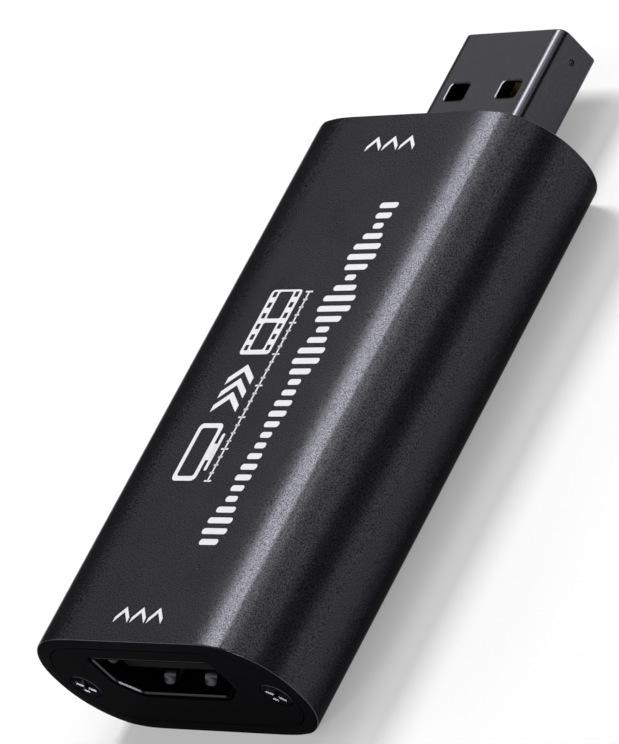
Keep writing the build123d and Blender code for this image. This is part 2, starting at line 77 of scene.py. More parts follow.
# Floor. A plain white sheet, larger than any view of the stick takes in. It is matt, and it shows white to the
# camera and in the metal, apart from the stick's own soft shadow.
def add_node(material, kind, settings, links):
    """Adds a node to a material, with its settings by name and the links that go into its sockets."""
    node = material.node_tree.nodes.new(kind)
    for name, value in settings.items():
        if isinstance(name, int) or name in node.inputs:
            node.inputs[name].default_value = value
        else:
            setattr(node, name, value)
    for name, source in links.items():
        material.node_tree.links.new(source, node.inputs[name])
    return node


def colour(hex_value):
    """An sRGB hex colour as the linear colour that a shader takes."""
    channels = [int(hex_value[place:place + 2], 16) / 255 for place in (1, 3, 5)]
    linear = [((c + 0.055) / 1.055) ** 2.4 if c > 0.04045 else c / 12.92 for c in channels]
    return (*linear, 1.0)


def new_material(name):
    """A material with its output node alone."""
    material = bpy.data.materials.new(name)
    material.use_nodes = True
    material.node_tree.nodes.clear()
    add_node(material, "ShaderNodeOutputMaterial", {}, {})
    return material


def show(material, shader):
    """Links a shader to the material's output."""
    output = material.node_tree.nodes["Material Output"]
    material.node_tree.links.new(shader.outputs[0], output.inputs["Surface"])


floor_size = 6.0
floor_white = "#fafafb"
floor_seen_white = "#ffffff"
floor_seen_share = 0.3

floor_material = new_material("matt white paper sheet")
paper = add_node(floor_material, "ShaderNodeBsdfDiffuse", {"Color": colour(floor_white)}, {})
glow = add_node(floor_material, "ShaderNodeEmission", {"Color": colour(floor_seen_white), "Strength": 1.0}, {})
path = add_node(floor_material, "ShaderNodeLightPath", {}, {})
seen_in_metal = add_node(
    floor_material, "ShaderNodeMath", {"operation": "MAXIMUM"}, {0: path.outputs["Is Camera Ray"]})
floor_material.node_tree.links.new(path.outputs["Is Glossy Ray"], seen_in_metal.inputs[1])
seen_at_all = add_node(floor_material, "ShaderNodeMath", {"operation": "MAXIMUM"}, {0: seen_in_metal.outputs[0]})
floor_material.node_tree.links.new(path.outputs["Is Transmission Ray"], seen_at_all.inputs[1])
seen_share = add_node(
    floor_material, "ShaderNodeMath", {"operation": "MULTIPLY", 1: floor_seen_share}, {0: seen_at_all.outputs[0]})
sheet = add_node(
    floor_material, "ShaderNodeMixShader", {},
    {"Fac": seen_share.outputs[0], 1: paper.outputs[0], 2: glow.outputs[0]})
show(floor_material, sheet)

bpy.ops.object.select_all(action="DESELECT")
bpy.ops.mesh.primitive_plane_add(size=floor_size)
floor = bpy.context.object
floor.name = "floor"
floor.data.materials.append(floor_material)


# Lights. A soft box stands behind the stick and to its left, and gives the bright band along the right shoulder.
# Two dimmer ones overhead let that band fade down the side, a long low one at the left lights the flat top, two
# in front draw the socket's rim, the fingers and the screws, two wide dim ones shape the sides that this camera
# doesn't see, and a faint pale room fills the rest.
def add_light(name, place, size, radiance):
    """A rectangular soft box at place, facing the stick, with its long side along Y."""
    bpy.ops.object.light_add(type="AREA", location=place)
    light = bpy.context.object
    light.name = name
    away = (place - camera_aim).normalized()
    across = Vector((0, 1, 0)).cross(away).normalized()
    along = away.cross(across)
    turn = Matrix((across, along, away)).transposed().to_4x4()
    light.matrix_world = Matrix.Translation(place) @ turn
    light.data.shape = "RECTANGLE"
    light.data.size, light.data.size_y = size
    light.data.energy = radiance * math.pi * size[0] * size[1]
    light.data.color = colour(lamp_white)[:3]


def mirrored(tilt):
    """The direction in which the camera sees a mirror that is tilted from level towards +X by this angle."""
    normal = Vector((math.sin(tilt), 0, math.cos(tilt)))
    return 2 * normal.dot(to_camera) * normal - to_camera


mirrored_boxes = {
    # tilt of the shoulder that mirrors it, distance, width and length in metres, radiance
    "key soft box": (12.3, 0.60, (0.18, 0.28), 16.4),
    "shoulder soft box": (26.0, 0.70, (0.22, 0.30), 3.7),
    "side soft box": (42.0, 0.70, (0.46, 0.30), 1.2),
}
placed_boxes = {
    # place, width and length in metres, radiance
    "left soft box": (Vector((-0.56, 0.04, 0.375)), (0.13, 1.0), 0.85),
    "corner soft box": (Vector((-0.48, -0.29, 0.34)), (0.26, 0.50), 0.8),
    "front soft box": (Vector((0.042, -0.532, 0.28)), (0.12, 0.12), 12.0),
    "back soft box": (Vector((0, 0.95, 0.38)), (1.2, 0.55), 0.8),
    "near soft box": (Vector((0.70, -0.62, 0.42)), (0.6, 0.9), 0.7),
}
lamp_white = "#ffffff"
room_white = "#ffffff"
room_strength = 0.12

for name, (tilt, distance, size, radiance) in mirrored_boxes.items():
    add_light(name, camera_aim + mirrored(math.radians(tilt)) * distance, size, radiance)
for name, (place, size, radiance) in placed_boxes.items():
    add_light(name, place, size, radiance)

world = bpy.data.worlds.new("pale room")
world.use_nodes = True
bpy.context.scene.world = world
world.node_tree.nodes["Background"].inputs["Color"].default_value = colour(room_white)
world.node_tree.nodes["Background"].inputs["Strength"].default_value = room_strength


# Circuit board. Glass laminate with copper layers under green solder mask, milled to slide into the tube's
# rails. Its CAD shape is right and stays, as do those of the parts soldered to it.
def coat(node, material):
    """Gives a CAD node's own mesh its finish."""
    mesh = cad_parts[node].data
    mesh.materials.clear()
    mesh.materials.append(material)


# solder mask over copper: a glossy green, lighter where the traces run under it. wave_period is the length over
# which a wave texture of scale 1 repeats.
mask_green = "#0f4429"
trace_green = "#1d6139"
trace_pitch_mm = 0.9
wave_period = 0.314
ripple_mm = 0.5

solder_mask = new_material("green solder mask on glass laminate")
place = add_node(solder_mask, "ShaderNodeTexCoord", {}, {})
traces = add_node(
    solder_mask, "ShaderNodeTexWave",
    {"Scale": wave_period / (trace_pitch_mm * MM), "Distortion": 5.0, "Detail": 1.0, "Detail Scale": 0.4},
    {"Vector": place.outputs["Object"]})
trace_edge = add_node(
    solder_mask, "ShaderNodeMapRange", {"From Min": 0.52, "From Max": 0.58}, {"Value": traces.outputs["Fac"]})
ripple = add_node(
    solder_mask, "ShaderNodeTexNoise", {"Scale": 1 / (ripple_mm * MM), "Detail": 2.0},
    {"Vector": place.outputs["Object"]})
mask_gloss = add_node(
    solder_mask, "ShaderNodeMapRange", {"To Min": 0.2, "To Max": 0.38}, {"Value": ripple.outputs["Fac"]})
mask_colour = add_node(
    solder_mask, "ShaderNodeMix", {"data_type": "RGBA", 6: colour(mask_green), 7: colour(trace_green)},
    {0: trace_edge.outputs["Result"]})
relief = add_node(
    solder_mask, "ShaderNodeBump", {"Strength": 0.4, "Distance": 0.03 * MM}, {"Height": trace_edge.outputs["Result"]})
mask = add_node(
    solder_mask, "ShaderNodeBsdfPrincipled", {"IOR": 1.52},
    {"Base Color": mask_colour.outputs[2], "Roughness": mask_gloss.outputs["Result"],
     "Normal": relief.outputs["Normal"]})
show(solder_mask, mask)
coat("circuit_board", solder_mask)

# Chips, regulators and surge arrays. Silicon moulded into black epoxy, with tinned legs that are soldered to the
# board's pads.
def mottled_finish(name, shades, noise, shader, gloss=None, relief=None, stretch=None, contrast=None):
    """A material with a darker and a lighter shade, mixed by a fine noise.

    The noise can also spread the roughness over a span (gloss) and raise a bump by its strength and its depth in
    millimetres (relief). It can be drawn out along an axis (stretch) and cut down to its middle values (contrast).
    """
    material = new_material(name)
    place = add_node(material, "ShaderNodeTexCoord", {}, {}).outputs["Object"]
    if stretch:
        place = add_node(material, "ShaderNodeMapping", {"Scale": stretch}, {"Vector": place}).outputs["Vector"]
    grain = add_node(material, "ShaderNodeTexNoise", noise, {"Vector": place}).outputs["Fac"]
    blend = grain
    if contrast:
        blend = add_node(
            material, "ShaderNodeMapRange", {"From Min": contrast[0], "From Max": contrast[1]},
            {"Value": grain}).outputs["Result"]
    dark, light = shades
    shade = add_node(
        material, "ShaderNodeMix", {"data_type": "RGBA", 6: colour(dark), 7: colour(light)}, {0: blend})
    links = {"Base Color": shade.outputs[2]}
    if gloss:
        span = {"To Min": gloss[0], "To Max": gloss[1]}
        links["Roughness"] = add_node(material, "ShaderNodeMapRange", span, {"Value": grain}).outputs["Result"]
    if relief:
        bump = {"Strength": relief[0], "Distance": relief[1] * MM}
        links["Normal"] = add_node(material, "ShaderNodeBump", bump, {"Height": grain}).outputs["Normal"]
    show(material, add_node(material, "ShaderNodeBsdfPrincipled", shader, links))
    return material


# epoxy moulding compound: a matt black, speckled grey by its silica filler
epoxy_shades = ("#101012", "#222225")
filler_mm = 0.12

moulded_epoxy = mottled_finish(
    "moulded black epoxy", epoxy_shades, {"Scale": 1 / (filler_mm * MM), "Detail": 3.0, "Roughness": 0.7},
    {"Roughness": 0.55, "IOR": 1.55}, relief=(0.3, 0.008), contrast=(0.45, 0.75))
for node in ("capture_chip", "memory_chip", "main_regulator", "core_regulator", "surge_arrays"):
    coat(node, moulded_epoxy)

# tin over copper legs: a bright soft grey metal, duller in patches where the solder ran
tin_shades = ("#a9a9aa", "#cfcfd0")
solder_patch_mm = 0.3

tinned_copper = mottled_finish(
    "tinned copper legs", tin_shades, {"Scale": 1 / (solder_patch_mm * MM), "Detail": 3.0},
    {"Metallic": 1.0}, gloss=(0.25, 0.45))
for node in ("capture_chip_leads", "memory_chip_leads", "main_regulator_leads", "core_regulator_leads"):
    coat(node, tinned_copper)

# Crystal. A quartz clock crystal in a can drawn from nickel silver. The can is welded to its ceramic base, and the
# base is soldered to the board.

# drawn nickel silver: a warm grey metal with fine lines along the can
can_shades = ("#aaa69c", "#c9c6bd")
draw_line_mm = 0.08
draw_line_length_mm = 1.5

drawn_can = mottled_finish(
    "drawn nickel silver", can_shades, {"Scale": 1.0, "Detail": 2.0}, {"Metallic": 1.0}, gloss=(0.2, 0.4),
    stretch=(1 / (draw_line_length_mm * MM), 1 / (draw_line_mm * MM), 1 / (draw_line_mm * MM)))
coat("crystal_can", drawn_can)

# fired ceramic: a dull cream, slightly uneven from the kiln
ceramic_shades = ("#c4bfae", "#dad6c8")
firing_mm = 0.4

fired_ceramic = mottled_finish(
    "fired ceramic", ceramic_shades, {"Scale": 1 / (firing_mm * MM), "Detail": 4.0},
    {"Roughness": 0.6}, relief=(0.2, 0.01))
coat("crystal_base", fired_ceramic)

# Capacitors. Small sintered blocks along the chips' supply pins, and larger ones beside the regulators, all
# soldered flat to the board.

# sintered titanate: a matt tan, grained darker
titanate_shades = ("#8a6b48", "#b08f66")
sinter_mm = 0.16

sintered_titanate = mottled_finish(
    "sintered barium titanate", titanate_shades,
    {"Scale": 1 / (sinter_mm * MM), "Detail": 3.0, "Roughness": 0.65}, {"Roughness": 0.5}, relief=(0.3, 0.01))
for node in ("ceramic_capacitors", "bulk_capacitors"):
    coat(node, sintered_titanate)

# Resistors. Thick film printed on small plates of alumina and covered by a black glass glaze. They are soldered
# flat to the board.

# fired glaze: black and fairly glossy, with an orange-peel surface
glaze_shades = ("#121214", "#26262a")
peel_mm = 0.2

fired_glaze = mottled_finish(
    "fired black glass glaze", glaze_shades, {"Scale": 1 / (peel_mm * MM), "Detail": 1.0},
    {"Roughness": 0.25, "IOR": 1.52}, relief=(0.25, 0.01))
coat("resistors", fired_glaze)

# Ferrite beads. Sintered blocks in the supply lines, which keep noise off them. They are soldered flat to the
# board.

# sintered ferrite: a dark brownish grey, matt and grained
ferrite_shades = ("#2c2a28", "#4a4643")
ferrite_grain_mm = 0.14

sintered_ferrite = mottled_finish(
    "sintered ferrite", ferrite_shades, {"Scale": 1 / (ferrite_grain_mm * MM), "Detail": 3.0, "Roughness": 0.7},
    {"Roughness": 0.7}, relief=(0.4, 0.01))
coat("ferrite_beads", sintered_ferrite)

# Socket moulding. One piece of glass-filled nylon with the tongue that carries the contacts. The steel shell is
# folded round it.

# glass-filled nylon: a dull black with short paler fibres at its skin
nylon_shades = ("#070708", "#161618")
fibre_width_mm = 0.06
fibre_length_mm = 0.4

filled_nylon = mottled_finish(
    "moulded glass-filled nylon", nylon_shades, {"Scale": 1.0, "Detail": 2.0},
    {"Roughness": 0.55, "Specular IOR Level": 0.02}, relief=(0.3, 0.01),
    stretch=(1 / (fibre_width_mm * MM), 1 / (fibre_length_mm * MM), 1 / (fibre_width_mm * MM)))
coat("video_socket_housing", filled_nylon)

# Socket contacts. Nineteen strips stamped from phosphor bronze, ten over the tongue and nine under it, with their
# tails soldered to the board.

# gold flash on bronze: a warm yellow metal, polished along the strip and duller in patches
gold_shades = ("#b98f45", "#dcb871")
wipe_mm = 0.35

gilt_bronze = mottled_finish(
    "gold-flashed phosphor bronze", gold_shades, {"Scale": 1 / (wipe_mm * MM), "Detail": 3.0},
    {"Metallic": 1.0}, gloss=(0.18, 0.34))
for node in ("video_socket_upper_contacts", "video_socket_lower_contacts"):
    coat(node, gilt_bronze)

# Video socket shell. Steel sheet folded round the socket's moulding. Six spring fingers are cut free of its
# walls and bent inwards, and four legs go down through the board.
def cad_mm(node):
    """The lowest and highest corner of a CAD node, in millimetres."""
    low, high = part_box(node)
    return Vector(low) / MM, Vector(high) / MM


def deselect_all():
    """Leaves edit mode, with nothing selected."""
    if bpy.context.object and bpy.context.object.mode == "EDIT":
        bpy.ops.object.mode_set(mode="OBJECT")
    bpy.ops.object.select_all(action="DESELECT")


def select_only(piece):
    """Selects one piece, in object mode."""
    deselect_all()
    piece.select_set(True)
    bpy.context.view_layer.objects.active = piece


def new_block(low, high):
    """A block between two corners, in millimetres, alone selected and open for editing."""
    deselect_all()
    bpy.ops.mesh.primitive_cube_add(size=1, location=(low + high) / 2, scale=high - low)
    bpy.ops.object.transform_apply()
    bpy.ops.object.mode_set(mode="EDIT")
    return bpy.context.object


def middle(element):
    """The middle of a vertex, edge or face."""
    points = [element.co] if isinstance(element, bmesh.types.BMVert) else [vert.co for vert in element.verts]
    return sum(points, Vector()) / len(points)


def pick(kind, test):
    """In edit mode, selects the vertices, edges or faces that pass a test, and nothing else."""
    bpy.ops.mesh.select_mode(type=kind)
    bpy.ops.mesh.select_all(action="DESELECT")
    mesh = bpy.context.object.data
    shape = bmesh.from_edit_mesh(mesh)
    for element in {"VERT": shape.verts, "EDGE": shape.edges, "FACE": shape.faces}[kind]:
        if test(element):
            element.select_set(True)
    shape.select_flush_mode()
    bmesh.update_edit_mesh(mesh)


def lies_along_y(edge):
    """True for an edge that runs along the stick."""
    step = edge.verts[0].co - edge.verts[1].co
    return abs(step.y) > 0.5 * step.length


def lies_along_z(edge):
    """True for an upright edge."""
    step = edge.verts[0].co - edge.verts[1].co
    return abs(step.z) > 0.9 * step.length


def faces_end(face):
    """True for a face square to the stick."""
    return abs(face.normal.y) > 0.9


def round_edges(test, radius, steps, profile=0.5):
    """Rounds the edges that pass a test."""
    pick("EDGE", test)
    bpy.ops.mesh.bevel(offset_type="OFFSET", offset=radius, segments=steps, profile=profile, affect="EDGES")


def open_ends():
    """Deletes the faces square to the stick."""
    pick("FACE", faces_end)
    bpy.ops.mesh.delete(type="FACE")


def add_edges(point, normal):
    """Adds edges all round the piece where a plane crosses it."""
    bpy.ops.mesh.select_all(action="SELECT")
    bpy.ops.mesh.bisect(plane_co=point, plane_no=normal)


def apply_modifier(piece, kind, **settings):
    """Adds a modifier to a piece and applies it."""
    select_only(piece)
    modifier = piece.modifiers.new(kind.title(), kind)
    for name, value in settings.items():
        setattr(modifier, name, value)
    bpy.ops.object.modifier_apply(modifier=modifier.name)


def break_sheet_edges(piece):
    """Takes the sharpness off the edges of a piece of folded sheet."""
    apply_modifier(
        piece, "BEVEL", width=sheet_edge_break, segments=2, limit_method="ANGLE", angle_limit=sheet_edge_angle)


def finish_piece(piece, name, material):
    """Brings a finished piece from millimetres to metres, names it and gives it its material."""
    select_only(piece)
    piece.scale = (MM, MM, MM)
    bpy.ops.object.transform_apply()
    bpy.ops.object.shade_smooth_by_angle(angle=smooth_angle)
    apply_modifier(piece, "WEIGHTED_NORMAL", keep_sharp=True, weight=100)
    piece.name = name
    piece.data.materials.clear()
    piece.data.materials.append(material)
    return piece


def socket_form(low, high, corner):
    """A block with the socket's outline: wide on top, with both lower corners cut, and its edges rounded."""
    form = new_block(low, high)
    shoulder_z = high.z - (high.z - low.z) * socket_side_height / socket_height
    add_edges((0, 0, shoulder_z), (0, 0, 1))
    pick("VERT", lambda vert: vert.co.z < low.z + tolerance)
    bpy.ops.transform.resize(value=(socket_bottom_width / socket_width, 1, 1), center_override=(0, 0, 0))
    round_edges(lies_along_y, corner, steps=6)
    return form


def cut_away(piece, tool):
    """Cuts a tool's shape out of a piece and deletes the tool."""
    apply_modifier(piece, "BOOLEAN", operation="DIFFERENCE", object=tool, solver="EXACT")
    bpy.data.objects.remove(tool)


def placed_copy(piece, place):
    """A copy of a piece with its own mesh, moved to its place."""
    copy = piece.copy()
    copy.data = piece.data.copy()
    copy.data.transform(place)
    bpy.context.scene.collection.objects.link(copy)
    return copy


def joined(pieces):
    """Joins several objects into the first of them."""
    deselect_all()
    for piece in pieces:
        piece.select_set(True)
    bpy.context.view_layer.objects.active = pieces[0]
    bpy.ops.object.join()
    return pieces[0]


tolerance = 0.01
smooth_angle = math.radians(30)
sheet_edge_break = 0.03
sheet_edge_angle = math.radians(50)

casing_low, casing_high = cad_mm("casing")
socket_low, socket_high = cad_mm("video_socket_shell")
socket_top = socket_high.z
socket_height = 5.25
socket_side_height = 3.5
socket_width = 14.7
socket_bottom_width = 10.3
socket_corner = 0.5

socket_sheet = 0.35
finger_half_width = 0.72
finger_gap = 0.14
finger_tip = 0.9
finger_crest = 2.3
finger_root = 6.6
finger_anchor = 0.8
finger_lift = 0.95
finger_tip_lift = 0.05
finger_crest_radius = 0.9
finger_corner = 0.45
finger_spacing = 4.9
slot_outside, slot_inside = -0.5, 0.6
rim_break = 0.12
leg_size = Vector((0.35, 1.6, 5.4))
leg_setback = 3.5
leg_spacing = 6.4

socket_front = socket_low.y
socket_bottom = socket_top - socket_height
side_finger_z = socket_top - socket_side_height / 2
socket_shell = socket_form(
    Vector((socket_low.x, socket_front, socket_bottom)), Vector((socket_high.x, socket_high.y, socket_top)),
    socket_corner)
open_ends()
apply_modifier(socket_shell, "SOLIDIFY", thickness=socket_sheet, offset=-1, use_even_offset=True)
bpy.ops.object.mode_set(mode="EDIT")
round_edges(
    lambda edge: (
        len({faces_end(face) for face in edge.link_faces}) == 2 and middle(edge).y < socket_front + tolerance),
    rim_break, steps=1)

finger_places = [
    *[(x, socket_bottom, 0) for x in (-finger_spacing / 2, finger_spacing / 2)],
    *[(x, socket_top, 180) for x in (-finger_spacing / 2, finger_spacing / 2)],
    (socket_low.x, side_finger_z, 90),
    (socket_high.x, side_finger_z, -90),
]
finger = new_block(
    Vector((-finger_half_width, finger_tip, 0)),
    Vector((finger_half_width, finger_root + finger_anchor, socket_sheet)))
for y in (finger_crest, finger_root):
    add_edges((0, y, 0), (0, 1, 0))
for y, lift in ((finger_tip, finger_tip_lift), (finger_crest, finger_lift)):
    pick("VERT", lambda vert: abs(vert.co.y - y) < tolerance)
    bpy.ops.transform.translate(value=(0, 0, lift))
pick("EDGE", lambda edge: abs(middle(edge).x) < tolerance and abs(middle(edge).y - finger_crest) < tolerance)
bpy.ops.mesh.bevel(offset=finger_crest_radius, segments=8, affect="EDGES", clamp_overlap=True)
round_edges(lambda edge: lies_along_z(edge) and middle(edge).y < finger_tip + tolerance, finger_corner, steps=5)
parts = [socket_shell]
for x, z, turn in finger_places:
    place = Matrix.Translation((x, socket_front, z)) @ Matrix.Rotation(math.radians(turn), 4, "Y")
    half_slot = finger_half_width + finger_gap
    slot = new_block(
        Vector((-half_slot, finger_tip - finger_gap, slot_outside)), Vector((half_slot, finger_root, slot_inside)))
    deselect_all()
    slot.data.transform(place)
    cut_away(socket_shell, slot)
    parts.append(placed_copy(finger, place))
bpy.data.objects.remove(finger)
leg_top = socket_top - socket_corner - socket_sheet
for x in (socket_low.x + socket_sheet / 2, socket_high.x - socket_sheet / 2):
    for y in (0, leg_spacing):
        leg_y = casing_low.y + leg_setback + y
        parts.append(new_block(
            Vector((x - leg_size.x / 2, leg_y - leg_size.y / 2, socket_low.z)),
            Vector((x + leg_size.x / 2, leg_y + leg_size.y / 2, leg_top))))
socket_shell = joined(parts)
break_sheet_edges(socket_shell)

# tin over steel sheet, dulled by handling: dark seen at a slant, bright on its cut and bent edges
dulled_shades = ("#3e3e42", "#4e4e52")
dulling_mm = 0.6
oxide_tint = "#202024"

socket_steel = mottled_finish(
    "tin-plated steel sheet", dulled_shades, {"Scale": 1 / (dulling_mm * MM), "Detail": 4.0, "Roughness": 0.6},
    {"Metallic": 1.0, "Specular Tint": colour(oxide_tint)}, gloss=(0.18, 0.32))
finish_piece(socket_shell, "socket_rim_and_fingers", socket_steel)
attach(socket_shell, "root")
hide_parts("video_socket_shell")

# Plug tongue and contacts. A black moulding fills the lower half of the plug, with four gilt strips pressed into
# its top and their tails soldered to the board.
coat("plug_insulator", filled_nylon)
coat("plug_contacts", gilt_bronze)

# Plug shell. Nickel-plated steel sheet folded into a sleeve, with a locked seam below, two latch windows in
# the top and the bottom, and a pressed dimple on each side.
def outward_rim(centre):
    """The test for an edge between an end face and a side that faces away from the piece's middle line."""
    def test(edge):
        ends = [face for face in edge.link_faces if faces_end(face)]
        sides = [face for face in edge.link_faces if not faces_end(face)]
        if len(ends) != 1 or len(sides) != 1:
            return False
        out = middle(edge) - centre
        return out.x * sides[0].normal.x + out.z * sides[0].normal.z > 0
    return test


def plug_form(low, high, corner_gap=0.0):
    """A block with the plug's outline: its upper edges are full and softly drawn, its lower ones tighter."""
    form = new_block(low, high)
    round_edges(
        lambda edge: lies_along_y(edge) and middle(edge).z < low.z + tolerance,
        plug_lower_corner + corner_gap, steps=6)
    round_edges(
        lambda edge: lies_along_y(edge) and middle(edge).z > high.z - tolerance,
        plug_upper_corner + corner_gap, steps=12, profile=plug_corner_fullness)
    return form


plug_low, plug_high = cad_mm("plug_shell")
plug_half_width = 6.0
plug_upper_corner = 1.45
plug_lower_corner = 0.5
plug_corner_fullness = 0.7
plug_sheet = 0.3
plug_length = 18.75
plug_front_break = 0.12
window_size = Vector((2.2, 1.75, 6))
window_corner = 0.3
draw_depth = 0.055
draw_width = 0.22
window_setback = 5.3
window_spacing = 6.15
dimple_radius = 0.3
dimple_setback = 1.86
dimple_depth = 0.22
seam_width = 0.08
seam_reach = 10.0
seam_step = 0.55
seam_lock = 2.0

plug_middle = (plug_low + plug_high) / 2
plug_half_height = (plug_high.z - plug_low.z) / 2
plug_rear = plug_high.y - plug_length
plug_shell = plug_form(
    Vector((-plug_half_width, plug_rear, plug_low.z)), Vector((plug_half_width, plug_high.y, plug_high.z)))
open_ends()
apply_modifier(plug_shell, "SOLIDIFY", thickness=plug_sheet, offset=-1, use_even_offset=True)
bpy.ops.object.mode_set(mode="EDIT")
round_edges(outward_rim(plug_middle), plug_front_break, steps=3)

for x in (-window_spacing / 2, window_spacing / 2):
    window_middle = Vector((x, plug_high.y - window_setback - window_size.y / 2, plug_middle.z))
    window = new_block(window_middle - window_size / 2, window_middle + window_size / 2)
    round_edges(lies_along_z, window_corner, steps=4)
    # the punch draws the sheet down a little all round each window
    for side in (-1, 1):
        add_edges(plug_middle + Vector((0, 0, side * (plug_half_height - draw_depth))), (0, 0, 1))
    pick("VERT", lambda vert: abs(vert.co.z - plug_middle.z) > plug_half_height)
    drawn = (window_size.z / 2 - plug_half_height + draw_depth) * draw_width / draw_depth
    bpy.ops.transform.resize(
        value=(1 + 2 * drawn / window_size.x, 1 + 2 * drawn / window_size.y, 1), center_override=window_middle)
    cut_away(plug_shell, window)
for side in (-1, 1):
    deselect_all()
    dimple_x = side * (plug_half_width + dimple_radius - dimple_depth)
    bpy.ops.mesh.primitive_uv_sphere_add(
        segments=32, ring_count=16, radius=dimple_radius,
        location=(dimple_x, plug_high.y - dimple_setback, plug_middle.z))
    bpy.ops.object.transform_apply()
    cut_away(plug_shell, bpy.context.object)
seam_middle = Vector((0, (plug_high.y + plug_rear) / 2, plug_low.z))
seam_half = Vector((seam_width / 2, seam_reach, 2 * plug_sheet))
seam = new_block(seam_middle - seam_half, seam_middle + seam_half)
for offset in (-seam_lock - seam_step, -seam_lock, seam_lock, seam_lock + seam_step):
    add_edges((0, seam_middle.y + offset, 0), (0, 1, 0))
pick("VERT", lambda vert: abs(vert.co.y - seam_middle.y) < seam_lock + seam_step / 2)
bpy.ops.transform.translate(value=(seam_step, 0, 0))
cut_away(plug_shell, seam)
break_sheet_edges(plug_shell)

# dark nickel on rolled steel sheet: a smooth grey metal, faintly mottled by the rolling
nickel_shades = ("#333337", "#48484d")
mottle_mm = 0.3

plug_steel = mottled_finish(
    "nickel-plated rolled steel sheet", nickel_shades,
    {"Scale": 1 / (mottle_mm * MM), "Detail": 4.0, "Roughness": 0.65}, {"Metallic": 1.0}, gloss=(0.15, 0.25))
finish_piece(plug_shell, "plug_sleeve", plug_steel)
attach(plug_shell, "root")
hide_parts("plug_shell")

# Casing. One length of extruded aluminium tube with round shoulders, its ends sawn square and their edges
# broken. It is sand-blasted and anodised black.
def round_bar(radius, length, bar_middle):
    """A round bar that lies along the stick."""
    deselect_all()
    bpy.ops.mesh.primitive_cylinder_add(
        vertices=round_steps, radius=radius, depth=length, rotation=(math.radians(90), 0, 0), location=bar_middle)
    bpy.ops.object.transform_apply()
    return bpy.context.object


casing_corner = 6.0
casing_corner_steps = 24
round_steps = 48
casing_wall = 1.2
casing_edge_break = 0.12
shoulder_onset = 5.2
shoulder_loop_step = 0.4
shoulder_end = 10.6
shoulder_smoothings = 26

casing_middle = (casing_low + casing_high) / 2
casing = new_block(casing_low, casing_high)
round_edges(lies_along_y, casing_corner, casing_corner_steps)
open_ends()
# the real shoulder eases into the flat top, so loops are cut there and smoothed in height
corner_start = casing_high.x - casing_corner
for count in range(round((corner_start - shoulder_onset) / shoulder_loop_step)):
    for side in (-1, 1):
        add_edges((side * (shoulder_onset + count * shoulder_loop_step), 0, 0), (1, 0, 0))
pick("VERT", lambda vert: shoulder_onset + tolerance < abs(vert.co.x) < shoulder_end)
bpy.ops.mesh.vertices_smooth(factor=0.5, repeat=shoulder_smoothings, xaxis=False, yaxis=False, zaxis=True)
apply_modifier(casing, "SOLIDIFY", thickness=casing_wall, offset=-1, use_even_offset=True)
bpy.ops.object.mode_set(mode="EDIT")
round_edges(outward_rim(casing_middle), casing_edge_break, steps=3)

# a split channel for the screws and a ledge for the board run down each side of the bore, between the plates
plate_thickness = 1.6
channel_radius = 1.45
channel_bore = 0.85
channel_web = 2.0
channel_mouth = 0.9
web_reach = 2.4
ledge_width = 1.3
rail_wall = 1.0
rail_foot_z = 1.25
board_gap = 0.15
screw_head_radius = 1.4
form_overlap = 0.05
cut_excess = 1.0

plate_screws_low, plate_screws_high = cad_mm("input_plate_screws")
screw_x = plate_screws_high.x - screw_head_radius
screw_z = (plate_screws_low.z + plate_screws_high.z) / 2
board_low, board_high = cad_mm("circuit_board")
slot_x = board_high.x + board_gap
bore_start = casing_low.y + plate_thickness
bore_end = casing_high.y - plate_thickness
channel, channel_hole = [
    round_bar(radius, bore_end - bore_start + excess, Vector((screw_x, casing_middle.y, screw_z)))
    for radius, excess in ((channel_radius, 0), (channel_bore, cut_excess))]
cut_away(channel, channel_hole)
split = new_block(
    Vector((screw_x - channel_radius - cut_excess, bore_start - cut_excess, screw_z - channel_mouth / 2)),
    Vector((screw_x, bore_end + cut_excess, screw_z + channel_mouth / 2)))
cut_away(channel, split)
inner_forms = [channel]
for x_start, x_end, z_start, z_end in (
        (screw_x + channel_bore + form_overlap, screw_x + web_reach,
         screw_z - channel_web / 2, screw_z + channel_web / 2),
        (slot_x - ledge_width, slot_x + rail_wall, rail_foot_z, board_low.z),
        (slot_x, slot_x + rail_wall, board_low.z - form_overlap, board_high.z + board_gap)):
    inner_forms.append(new_block(Vector((x_start, bore_start, z_start)), Vector((x_end, bore_end, z_end))))
right_forms = joined(inner_forms)
half_turn = (
    Matrix.Translation(casing_middle) @ Matrix.Rotation(math.pi, 4, "Z") @ Matrix.Translation(-casing_middle))
casing = joined([casing, right_forms, placed_copy(right_forms, half_turn)])

# black-anodised aluminium: a dark metal that is faintly violet, whose blasted grain of about a tenth of a
# millimetre breaks the light up into fine sparks
anodised_dark = "#18181a"
anodised_light = "#4b4b50"
edge_dark = "#404045"
grain_mm = 0.1
cloud_mm = 3.0

blasted_aluminium = new_material("sand-blasted black anodised aluminium")
place = add_node(blasted_aluminium, "ShaderNodeTexCoord", {}, {})
grain = add_node(
    blasted_aluminium, "ShaderNodeTexNoise", {"Scale": 1 / (grain_mm * MM), "Detail": 2.0, "Roughness": 0.7},
    {"Vector": place.outputs["Object"]})
cloud = add_node(
    blasted_aluminium, "ShaderNodeTexNoise", {"Scale": 1 / (cloud_mm * MM), "Detail": 3.0},
    {"Vector": place.outputs["Object"]})
spark = add_node(
    blasted_aluminium, "ShaderNodeMapRange", {"From Min": 0.36, "From Max": 0.68}, {"Value": grain.outputs["Fac"]})
oxide_colour = add_node(
    blasted_aluminium, "ShaderNodeMix", {"data_type": "RGBA", 6: colour(anodised_dark), 7: colour(anodised_light)},
    {0: spark.outputs["Result"]})
dulling = add_node(
    blasted_aluminium, "ShaderNodeMapRange", {"To Min": 0.255, "To Max": 0.315}, {"Value": cloud.outputs["Fac"]})
